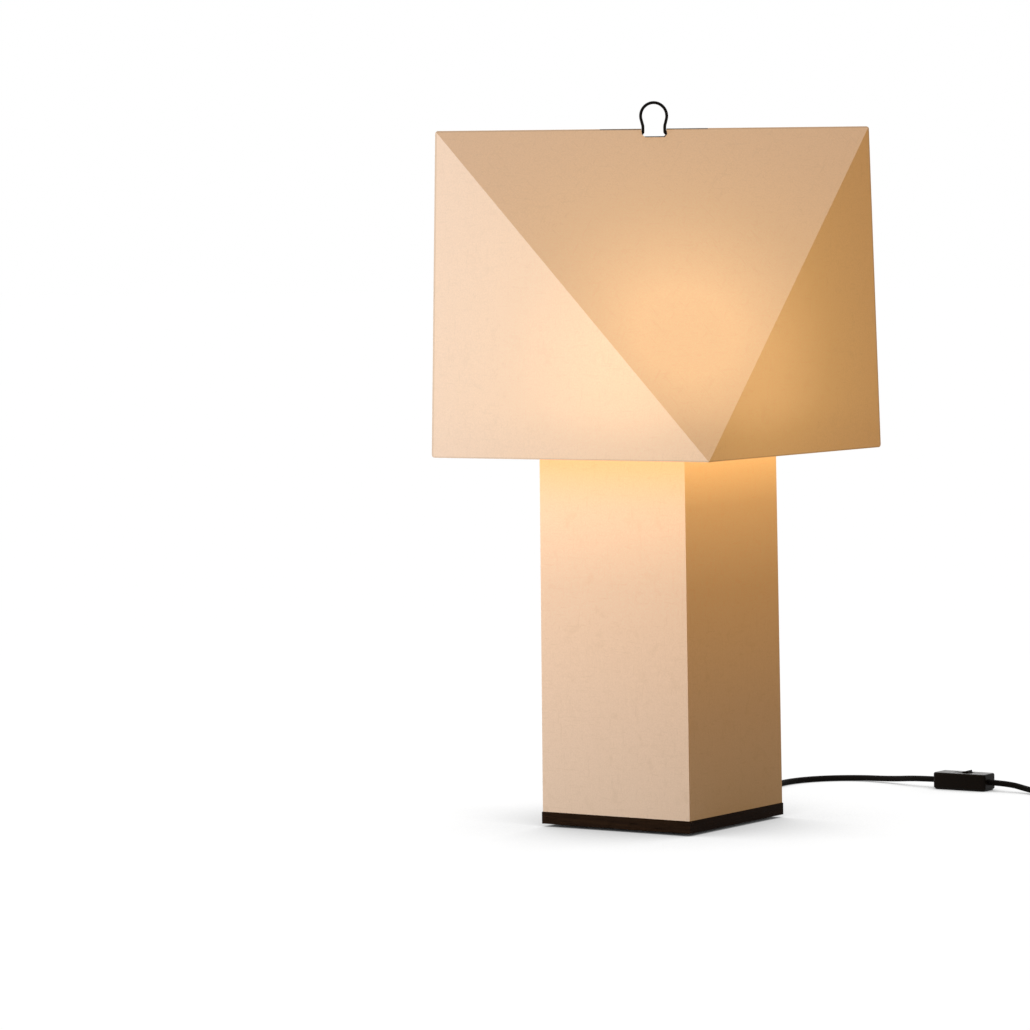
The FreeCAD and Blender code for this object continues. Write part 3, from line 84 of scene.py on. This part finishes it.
class Graph:
    """The node tree of a material or a world, with short calls."""

    def __init__(self, owner):
        self.owner = owner
        owner.use_nodes = True
        self.tree = owner.node_tree
        self.tree.nodes.clear()

    def feed(self, socket, given):
        """Set a socket's value, or link another node's output to it."""
        if isinstance(given, bpy.types.NodeSocket):
            self.tree.links.new(given, socket)
        else:
            socket.default_value = given

    def node(self, kind, inputs=None, **settings):
        made = self.tree.nodes.new("ShaderNode" + kind)
        for key, setting in settings.items():
            setattr(made, key, setting)
        for key, given in (inputs or {}).items():
            self.feed(made.inputs[key], given)
        return made

    def coordinates(self, which="Object"):
        return self.node("TexCoord").outputs[which]

    def stretched(self, coordinates, scale, turn=(0, 0, 0)):
        made = self.node("Mapping", {"Vector": coordinates, "Scale": scale, "Rotation": turn})
        return made.outputs["Vector"]

    def axes(self, vector):
        return self.node("SeparateXYZ", {"Vector": vector}).outputs

    def noise(self, coordinates, scale, detail, rough, distortion=0.0):
        made = self.node("TexNoise", {"Vector": coordinates, "Scale": scale, "Detail": detail,
                                      "Roughness": rough, "Distortion": distortion})
        return made.outputs["Fac"]

    def math(self, operation, first, second=0.0):
        return self.node("Math", {0: first, 1: second}, operation=operation).outputs[0]

    def add(self, first, second):
        return self.math("ADD", first, second)

    def minus(self, first, second):
        return self.math("SUBTRACT", first, second)

    def times(self, first, second):
        return self.math("MULTIPLY", first, second)

    def most(self, first, second):
        return self.math("MAXIMUM", first, second)

    def spread(self, value, low, high, to_low=0.0, to_high=1.0, smooth=False):
        """Map low..high to to_low..to_high, and hold the ends."""
        made = self.node("MapRange", {"Value": value, "From Min": low, "From Max": high,
                                      "To Min": to_low, "To Max": to_high})
        if smooth:
            made.interpolation_type = "SMOOTHSTEP"
        return made.outputs["Result"]

    def mix(self, share, first, second, blend="MIX"):
        """Mix two colours; the node's colour sockets are known by number only."""
        first, second = (given if isinstance(given, bpy.types.NodeSocket) else (*given, 1)
                         for given in (first, second))
        made = self.node("Mix", {0: share, 6: first, 7: second}, data_type="RGBA", blend_type=blend)
        return made.outputs[2]

    def dimmed(self, colour, factor):
        """A colour times a number that changes over the surface."""
        grey = self.node("CombineXYZ", {0: factor, 1: factor, 2: factor}).outputs[0]
        return self.mix(1.0, colour, grey, "MULTIPLY")

    def ramp(self, value, stops):
        made = self.node("ValToRGB", {"Fac": value})
        elements = made.color_ramp.elements
        while len(elements) < len(stops):
            elements.new(0.5)
        for element, (at, colour) in zip(elements, stops):
            element.position = at
            element.color = (*colour, 1)
        return made.outputs["Color"]

    def bump(self, height, distance):
        return self.node("Bump", {"Height": height, "Distance": distance}).outputs["Normal"]

    def finish(self, shader, kind="Material"):
        out = self.node("Output" + kind)
        self.tree.links.new(shader.outputs[0], out.inputs["Surface"])
        return self.owner

    def principled(self, **inputs):
        given = {name.replace("_", " "): value for name, value in inputs.items()}
        return self.finish(self.node("BsdfPrincipled", given))


def new_material(name):
    return Graph(bpy.data.materials.new(name))


# Paper -------------------------------------------------------------------------------------------

# Light that the paper lets through: brightest where the bulb is nearest, and the same on both sides
# of the ridge.  The place is given along the ridge, out from it and up.
GLOW_CENTRE = (0.0, 0.103, 0.4665)
GLOW_REACH = 0.1204
SHADE_GLOW = [(0.0, (0.33, 0.140, 0.018)), (0.35, (0.51, 0.243, 0.048)),
              (0.75, (0.78, 0.400, 0.120))]
LOWER_EDGE = 0.372
DIM_UP_TO, DIM_SHARE = 0.430, 0.66  # the paper by the lower edge gets less of the bulb's light

# Folded-over rims, two sheets thick: less of the painted glow comes through them, and their colour
# is darkened as painted shade
RIDGE_RIM, LOWER_RIM = 0.6935, 0.3733
END_AT_LOWER_EDGE = 0.2298  # from the middle to the end edge
END_LEAN = 0.02724  # the end edge comes in by this share of its height
END_RIM_WIDTH = 0.0014
RIM_DIMS_GLOW, RIM_PAINTED_SHADE = 0.22, 0.35

# Light from the shade on the column, from its foot to its top
COLUMN_FOOT, COLUMN_TOP = 0.015, 0.388
COLUMN_GLOW = [(0.0, (0.16, 0.080, 0.020)), (0.25, (0.21, 0.095, 0.018)),
               (0.60, (0.31, 0.135, 0.020)), (0.82, (0.45, 0.215, 0.050)),
               (0.92, (0.66, 0.33, 0.090)), (1.0, (0.89, 0.45, 0.150))]

FIBRE_RUNS = [((0.3, 0.2, 0.5), (420, 60, 60)), ((1.1, 0.7, 2.1), (60, 460, 60)),
              ((0.6, 1.9, 1.2), (60, 60, 440))]  # each: turn, stretch
PAPER_RELIEF = 0.00012


def paper_relief(graph):
    """Cloudy thickness, fine tooth, a few long fibres, and the relief that they make together."""
    at = graph.coordinates()
    clouds = graph.noise(at, scale=130, detail=8, rough=0.8)
    tooth = graph.noise(at, scale=620, detail=3, rough=0.7)
    fibres = None
    for turn, stretch in FIBRE_RUNS:
        strand = graph.noise(graph.stretched(at, stretch, turn), 1, 2, 0.5, distortion=0.6)
        strand = graph.spread(strand, 0.60, 0.72)
        fibres = strand if fibres is None else graph.most(fibres, strand)
    height = graph.add(graph.times(tooth, 0.35), graph.times(fibres, 0.4))
    height = graph.add(height, graph.times(clouds, 0.5))
    return clouds, tooth, fibres, height


def glowing_paper(graph, colour, glow, height):
    return graph.principled(Base_Color=colour, Roughness=0.85, Specular_IOR_Level=0.2,
                            Emission_Color=glow, Emission_Strength=1.0,
                            Normal=graph.bump(height, PAPER_RELIEF))


def from_ridge(graph):
    """A point's place along the ridge, its distance to either side of it, and its height."""
    turned = graph.stretched(graph.coordinates(), (1, 1, 1), (0, 0, -math.pi / 4))
    axes = graph.axes(turned)
    return axes["X"], graph.math("ABSOLUTE", axes["Y"]), axes["Z"]


def bulb_light(graph, along, out, level):
    """How much of the bulb's light reaches the paper, from 0 to 1."""
    spot = graph.node("CombineXYZ", {0: along, 1: out, 2: level}).outputs[0]
    away = graph.node("VectorMath", {0: spot, 1: GLOW_CENTRE}, operation="DISTANCE")
    share = graph.math("DIVIDE", away.outputs["Value"], GLOW_REACH)
    squared = graph.math("POWER", share, 2.0)
    near = graph.math("DIVIDE", 1.0, graph.add(squared, 1.0))
    return graph.times(near, graph.spread(level, LOWER_EDGE, DIM_UP_TO, DIM_SHARE, smooth=True))


def shade_rims(graph, along, level):
    """One on the folded-over rims of the sheet, and zero elsewhere."""
    rim = graph.most(graph.math("GREATER_THAN", level, RIDGE_RIM),
                     graph.math("LESS_THAN", level, LOWER_RIM))
    end = graph.minus(END_AT_LOWER_EDGE, graph.times(graph.minus(level, LOWER_EDGE), END_LEAN))
    out = graph.math("ABSOLUTE", along)
    return graph.most(rim, graph.math("GREATER_THAN", out, graph.minus(end, END_RIM_WIDTH)))


def shade_paper():
    """Thin fibrous paper, lit from inside by the bulb."""
    graph = new_material("shade_paper")
    clouds, tooth, fibres, height = paper_relief(graph)
    along, out, level = from_ridge(graph)
    rim = shade_rims(graph, along, level)
    thin = graph.add(graph.spread(clouds, *MIDDLE, 0.98, 1.02), graph.times(fibres, -0.05))
    thin = graph.add(thin, graph.spread(tooth, *WIDE, -0.06, 0.06))
    thin = graph.times(thin, graph.minus(1.0, graph.times(rim, RIM_DIMS_GLOW)))
    glow = graph.dimmed(graph.ramp(bulb_light(graph, along, out, level), SHADE_GLOW), thin)
    colour = graph.mix(graph.spread(tooth, *MIDDLE), (0.490, 0.485, 0.470), (0.535, 0.530, 0.515))
    colour = graph.mix(graph.times(fibres, 0.12), colour, (0.44, 0.41, 0.36))
    # Painted shade: the rims' colour is darkened towards brown
    colour = graph.mix(graph.times(rim, RIM_PAINTED_SHADE), colour, (0.34, 0.30, 0.25))
    return glowing_paper(graph, colour, glow, height)


def column_paper():
    """The same paper pasted on board, with warm light from the shade on its upper end."""
    graph = new_material("column_paper")
    _, tooth, fibres, height = paper_relief(graph)
    colour = graph.mix(graph.spread(tooth, *MIDDLE), (0.685, 0.570, 0.480), (0.745, 0.630, 0.540))
    colour = graph.mix(graph.times(fibres, 0.15), colour, (0.44, 0.37, 0.29))
    level = graph.axes(graph.coordinates())["Z"]
    glow = graph.ramp(graph.spread(level, COLUMN_FOOT, COLUMN_TOP), COLUMN_GLOW)
    glow = graph.dimmed(glow, graph.spread(tooth, *WIDE, 0.94, 1.06))
    return glowing_paper(graph, colour, glow, height)


# Other materials ---------------------------------------------------------------------------------

YARNS_ROUND = 8  # yarns of one slant round the lead
YARNS_PER_METRE = 420


def scaled(colour, share):
    return tuple(share * each for each in colour)


def wood(name, dark, light, along, roughness, specular=0.5):
    """Straight-grained wood; along is the grain's stretch on the three axes."""
    graph = new_material(name)
    at = graph.coordinates()
    bands = graph.noise(graph.stretched(at, along), 1, detail=6, rough=0.65, distortion=0.8)
    pores = graph.noise(graph.stretched(at, scaled(along, 5)), 1, detail=3, rough=0.6)
    pores = graph.spread(pores, 0.58, 0.70)
    colour = graph.mix(graph.spread(bands, 0.32, 0.68), dark, light)
    colour = graph.mix(graph.times(pores, 0.5), colour, scaled(dark, 0.45))
    height = graph.minus(graph.times(bands, 0.3), pores)
    rough = graph.add(graph.times(pores, 0.2), roughness)
    return graph.principled(Base_Color=colour, Roughness=rough, Specular_IOR_Level=specular,
                            Normal=graph.bump(height, 0.0003))


def metal(name, colour, roughness, brushed=(1, 1, 1), metallic=1.0, wear=0.06, specular=0.5):
    """Plated, lacquered or bare metal with fine marks."""
    graph = new_material(name)
    at = graph.coordinates()
    marks = graph.noise(graph.stretched(at, brushed), scale=700, detail=4, rough=0.6)
    clouds = graph.noise(at, scale=60, detail=4, rough=0.6)
    shade = graph.mix(graph.spread(clouds, *MIDDLE), scaled(colour, 1 - 2 * wear), colour)
    rough = graph.add(graph.spread(marks, *MIDDLE, -wear, wear), roughness)
    return graph.principled(Base_Color=shade, Roughness=rough, Metallic=metallic,
                            Specular_IOR_Level=specular, Normal=graph.bump(marks, 0.00003))


def moulded(name, colour, roughness, grain=900, depth=0.00004, specular=0.5):
    """Plastic or rubber with a moulded grain."""
    graph = new_material(name)
    at = graph.coordinates()
    grains = graph.noise(at, scale=grain, detail=3, rough=0.6)
    clouds = graph.noise(at, scale=45, detail=4, rough=0.6)
    shade = graph.mix(graph.spread(clouds, *MIDDLE), scaled(colour, 0.8), colour)
    rough = graph.add(graph.spread(clouds, *MIDDLE, -0.04, 0.04), roughness)
    return graph.principled(Base_Color=shade, Roughness=rough, Specular_IOR_Level=specular,
                            Normal=graph.bump(grains, depth))


def opal_bulb():
    """Frosted glass that glows."""
    graph = new_material("bulb_opal")
    clouds = graph.noise(graph.coordinates(), scale=30, detail=3, rough=0.5)
    colour = graph.mix(clouds, (0.40, 0.37, 0.33), (0.46, 0.43, 0.38))
    glow = graph.mix(clouds, (0.80, 0.60, 0.33), (0.88, 0.67, 0.39))
    return graph.principled(Base_Color=colour, Roughness=0.35, Emission_Color=glow,
                            Emission_Strength=1.0)


def ceramic():
    graph = new_material("contact_ceramic")
    specks = graph.noise(graph.coordinates(), scale=500, detail=4, rough=0.7)
    colour = graph.mix(graph.spread(specks, 0.4, 0.7), (0.86, 0.85, 0.81), (0.72, 0.70, 0.65))
    return graph.principled(Base_Color=colour, Roughness=0.6, Normal=graph.bump(specks, 0.00005))


def braid():
    """Textile cover of the lead: two sets of slanting yarns; U goes round, V along in metres."""
    graph = new_material("lead_textile")
    uv = graph.axes(graph.coordinates("UV"))
    round_it = graph.times(uv["X"], YARNS_ROUND)
    along = graph.times(uv["Y"], YARNS_PER_METRE)
    right, left = (graph.math("PINGPONG", graph.add(graph.times(round_it, slant), along), 0.5)
                   for slant in (1, -1))
    over = graph.math("GREATER_THAN", right, left)
    yarn = graph.most(right, left)
    fuzz = graph.noise(graph.coordinates(), scale=2500, detail=2, rough=0.6)
    # Painted shade: the yarn lying under the other is darker, and the gaps between yarns darker
    # still
    shade = graph.mix(over, (0.006, 0.004, 0.003), (0.011, 0.007, 0.005))
    shade = graph.mix(graph.spread(yarn, 0.25, 0.5), (0.002, 0.0015, 0.001), shade)
    height = graph.add(yarn, graph.times(fuzz, 0.15))
    return graph.principled(Base_Color=shade, Roughness=0.85, Specular_IOR_Level=0.1,
                            Sheen_Weight=0.05, Sheen_Roughness=0.4,
                            Normal=graph.bump(height, 0.0006))


def strap():
    """Ribbed hook-and-loop strap."""
    graph = new_material("tie_strap")
    ribs = graph.node("TexWave", {"Vector": graph.coordinates(), "Scale": 260.0,
                                  "Distortion": 0.6}, bands_direction="DIAGONAL").outputs["Fac"]
    # Painted shade: the strap is darker in the grooves between its ribs and lighter on their crests
    shade = graph.mix(ribs, (0.012, 0.012, 0.012), (0.035, 0.034, 0.033))
    return graph.principled(Base_Color=shade, Roughness=0.85, Normal=graph.bump(ribs, 0.0002))


finishes = {
    "shade_paper": shade_paper(),
    "column_paper": column_paper(),
    "dark_wood": wood("dark_wood", (0.012, 0.0055, 0.0025), (0.030, 0.014, 0.006), (14, 14, 260),
                      0.6, specular=0.03),
    "plain_wood": wood("plain_wood", (0.50, 0.36, 0.21), (0.66, 0.51, 0.33), (160, 160, 9), 0.6),
    "foot_rubber": moulded("foot_rubber", (0.05, 0.05, 0.05), 0.8),
    "weight_steel": metal("weight_steel", (0.20, 0.20, 0.21), 0.5, brushed=(1, 8, 1)),
    "screw_steel": metal("screw_steel", (0.66, 0.66, 0.64), 0.3),
    "thread_brass": metal("thread_brass", (0.78, 0.58, 0.27), 0.28),
    "holder_plastic": moulded("holder_plastic", (0.03, 0.03, 0.03), 0.45),
    "contact_ceramic": ceramic(),
    "bulb_cap_metal": metal("bulb_cap_metal", (0.78, 0.78, 0.78), 0.3),
    "bulb_opal": opal_bulb(),
    "harp_metal": metal("harp_metal", (0.05, 0.045, 0.04), 0.38, metallic=0.0),
    "ridge_metal": metal("ridge_metal", (0.16, 0.12, 0.09), 0.5, metallic=0.0, specular=0.3),
    "hem_metal": metal("hem_metal", (0.72, 0.62, 0.48), 0.5, metallic=0.0),
    "loop_metal": metal("loop_metal", (0.006, 0.004, 0.003), 0.5, metallic=0.0, specular=0.06),
    "bush_rubber": moulded("bush_rubber", (0.010, 0.008, 0.007), 0.8, specular=0.2),
    "lead_textile": braid(),
    "switch_plastic": moulded("switch_plastic", (0.010, 0.006, 0.003), 0.35, grain=300,
                              depth=0.00001, specular=0.06),
    "plug_plastic": moulded("plug_plastic", (0.014, 0.010, 0.007), 0.45, specular=0.2),
    "pin_metal": metal("pin_metal", (0.82, 0.80, 0.74), 0.2),
    "tie_strap": strap(),
}


def dress_model():
    """Give every node of the model its slot's finish."""
    slots = {row["node"]: row["material_slot"] for row in frame["record"]["subparts"]}
    for name, node in frame["nodes"].items():
        node.data.materials.clear()
        node.data.materials.append(finishes[slots[name]])


dress_model()

# Mains lead --------------------------------------------------------------------------------------

CORD = 0.0062  # diameter
LYING = 0.0032  # height of the cord's middle where it lies on the table
EXIT_LEVEL = 0.0064
SWITCH_LEVEL = 0.009
PLUG_LEVEL = 0.0074
TO_SWITCH = [(0, 0.11175, EXIT_LEVEL), (0, 0.13575, EXIT_LEVEL), (-0.007, 0.174, LYING),
             (-0.024, 0.226, LYING), (-0.046, 0.279, LYING), (-0.058, 0.328, LYING),
             (-0.044, 0.371, LYING), (-0.008, 0.399, LYING), (0.037, 0.394, 0.0046),
             (0.077, 0.380, SWITCH_LEVEL), (0.107, 0.380, SWITCH_LEVEL)]

COIL_HEADING = math.radians(-55)
AHEAD = Vector((math.cos(COIL_HEADING), math.sin(COIL_HEADING), 0))
INWARD = Vector((-AHEAD.y, AHEAD.x, 0))
COIL_CENTRE = Vector((0.2896, 0.3631, LYING))
COIL_RADII = [0.0444, 0.0410, 0.0376, 0.0342, 0.0308, 0.0256]  # one for each half turn inwards
LAYER = 0.0067  # height of the upper layer over the lower one
HALF_TURN_POINTS = 8
COIL_START = COIL_CENTRE - INWARD * COIL_RADII[0] - AHEAD * CORD
TO_COIL = [(0.159, 0.380, SWITCH_LEVEL), (0.186, 0.380, SWITCH_LEVEL), (0.2112, 0.3769, 0.0044),
           tuple(COIL_START - AHEAD * 0.026)]


def coil_points():
    """The coil's turns, in on the lower layer and out on the upper one, and where they end."""
    radii = COIL_RADII + COIL_RADII[::-1]
    innermost = len(COIL_RADII) - 1
    outside = math.cos(math.pi / (2 * HALF_TURN_POINTS))  # a smooth line runs inside its points
    points = []
    for index, (near, far) in enumerate(zip(radii, radii[1:])):
        side = -1 if index % 2 == 0 else 1
        hub = COIL_CENTRE + INWARD * side * (near - far) / 2
        radius = (near + far) / 2 / outside
        for step in range(HALF_TURN_POINTS):
            share = step / HALF_TURN_POINTS
            angle = math.pi * share
            climb = 0 if index < innermost else 1
            if index == innermost:
                climb = share - math.sin(2 * angle) / (2 * math.pi)
            turned = INWARD * side * math.cos(angle) - AHEAD * side * math.sin(angle)
            points.append(hub + turned * radius + Vector((0, 0, LAYER * climb)))
    last = COIL_CENTRE + INWARD * COIL_RADII[0] + Vector((0, 0, LAYER))
    return points[1:], last


def plug_points(last):
    """From the coil's last point down to the plug beside it."""
    away = -AHEAD
    side = Vector((-away.y, away.x, 0))
    start = last + away * CORD
    end = start + away * 0.066 + side * 0.003
    end.z = PLUG_LEVEL
    falling = start + away * 0.033 + side * 0.002
    falling.z += (PLUG_LEVEL - start.z) * 0.75
    return [last, start, start + away * 0.015, falling, end - away * 0.016, end]


def smooth_line(name, points):
    """Vertices of one smooth NURBS curve that has these control points."""
    data = bpy.data.curves.new(name, "CURVE")
    data.dimensions = "3D"
    data.resolution_u = 8
    line = data.splines.new("NURBS")
    line.points.add(len(points) - 1)
    for point, place in zip(line.points, points):
        point.co = (*place, 1)
    line.order_u = 3
    line.use_endpoint_u = True
    guide = bpy.data.objects.new(name, data)
    scene.collection.objects.link(guide)
    mesh = bpy.data.meshes.new_from_object(guide)
    path = [vertex.co.copy() for vertex in mesh.vertices]
    bpy.data.objects.remove(guide)
    bpy.data.meshes.remove(mesh)
    return path


def tube(name, points, sides=16):
    """Round cord along the smooth line, with a UV map that counts metres along it."""
    path = smooth_line(name + "_route", points)
    form = bmesh.new()
    uv = form.loops.layers.uv.new("UVMap")
    rings, lengths = [], [0.0]
    normal = Vector((0, 0, 1))
    for index, place in enumerate(path):
        heading = (path[min(index + 1, len(path) - 1)] - path[max(index - 1, 0)]).normalized()
        normal = (normal - heading * normal.dot(heading)).normalized()
        across = heading.cross(normal)
        ring = []
        for step in range(sides):
            angle = 2 * math.pi * step / sides
            spot = normal * math.cos(angle) + across * math.sin(angle)
            ring.append(form.verts.new(place + spot * CORD / 2))
        rings.append(ring)
        if index:
            lengths.append(lengths[-1] + (place - path[index - 1]).length)
    for row in range(len(rings) - 1):
        for step in range(sides):
            corners = ((step, row), (step + 1, row), (step + 1, row + 1), (step, row + 1))
            face = form.faces.new([rings[at][turn % sides] for turn, at in corners])
            face.smooth = True
            for loop, (turn, at) in zip(face.loops, corners):
                loop[uv].uv = (turn / sides, lengths[at])
    form.faces.new(rings[0])
    form.faces.new(reversed(rings[-1]))
    form.normal_update()
    mesh = bpy.data.meshes.new(name)
    form.to_mesh(mesh)
    form.free()
    made = bpy.data.objects.new(name, mesh)
    made.data.materials.append(finishes["lead_textile"])
    scene.collection.objects.link(made)
    return made, path, lengths[-1]


def make_leads():
    first, path, length = tube("lead_lamp_to_switch", TO_SWITCH)
    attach(first, "base")
    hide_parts("cord_to_switch")
    turns, last = coil_points()
    into_coil = [COIL_START, COIL_CENTRE - INWARD * COIL_RADII[0]]
    second, path, length = tube("lead_switch_to_plug",
                                TO_COIL + into_coil + turns + plug_points(last))
    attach(second, "base")
    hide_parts("cord_to_coil", "cord_coil", "cord_to_plug")


make_leads()

# Floor, backdrop and light -----------------------------------------------------------------------

WHITE = (1, 1, 1, 1)
FLOOR_REACH = 40
SHADOW_SIDE = (-0.50, 0.70, 0.51)  # the table is bright where it is open to this side
SHADOW_REACH = 0.34
FULLY_OPEN = 0.88
AIM = Vector((0, 0, 0.35))
PANELS = {
    "key": {"place": (-0.74, -1.14, 0.60), "width": 0.9, "power": 15},
    "top": {"place": (0.05, -0.15, 2.05), "width": 1.2, "power": 9},
    "back": {"place": (-0.75, 1.35, 0.95), "width": 1.3, "power": 12},
}


def seen_directly(graph):
    """One for what is looked at, also in a mirror or through glass; zero for what lights."""
    rays = graph.node("LightPath").outputs
    seen = graph.most(rays["Is Camera Ray"], rays["Is Glossy Ray"])
    return graph.most(seen, rays["Is Transmission Ray"])


def make_floor():
    """Pale table top that stays white to the camera, with a soft shadow painted from how open it is
    towards SHADOW_SIDE, and a faint real one.
    """
    mesh = bpy.data.meshes.new("floor")
    far = FLOOR_REACH
    mesh.from_pydata([(-far, -far, 0), (far, -far, 0), (far, far, 0), (-far, far, 0)], [],
                     [(0, 1, 2, 3)])
    floor = bpy.data.objects.new("floor", mesh)
    graph = new_material("floor")
    openness = graph.node("AmbientOcclusion", {"Distance": SHADOW_REACH, "Normal": SHADOW_SIDE},
                          samples=8).outputs["AO"]
    glow = graph.node("Emission", {"Color": WHITE,
                                   "Strength": graph.spread(openness, 0.0, FULLY_OPEN)})
    matt = graph.node("BsdfDiffuse", {"Color": (0.03, 0.03, 0.03, 1)})
    shown = graph.node("AddShader", {0: glow.outputs[0], 1: matt.outputs[0]})
    plain = graph.node("BsdfDiffuse", {"Color": (0.32, 0.31, 0.30, 1)})
    floor.data.materials.append(graph.finish(graph.node("MixShader", {
        0: seen_directly(graph), 1: plain.outputs[0], 2: shown.outputs[0]})))
    scene.collection.objects.link(floor)


def make_world():
    """White behind the lamp, with a little warm light all round."""
    scene.world = bpy.data.worlds.new("world")
    graph = Graph(scene.world)
    shown = graph.node("Background", {"Color": WHITE})
    lit = graph.node("Background", {"Color": (1.0, 0.94, 0.88, 1), "Strength": 0.07})
    graph.finish(graph.node("MixShader", {
        0: seen_directly(graph), 1: lit.outputs[0], 2: shown.outputs[0]}), "World")


def make_panel(name, place, width, power):
    """Square soft light that faces the lamp."""
    data = bpy.data.lights.new(name, "AREA")
    data.size = width
    data.energy = power
    light = bpy.data.objects.new(name, data)
    light.location = place
    light.rotation_euler = (Vector(place) - AIM).to_track_quat("Z", "Y").to_euler()
    light.visible_camera = False
    scene.collection.objects.link(light)


make_floor()
make_world()
for panel, setting in PANELS.items():
    make_panel(panel, **setting)
scene.view_settings.view_transform = "Standard"
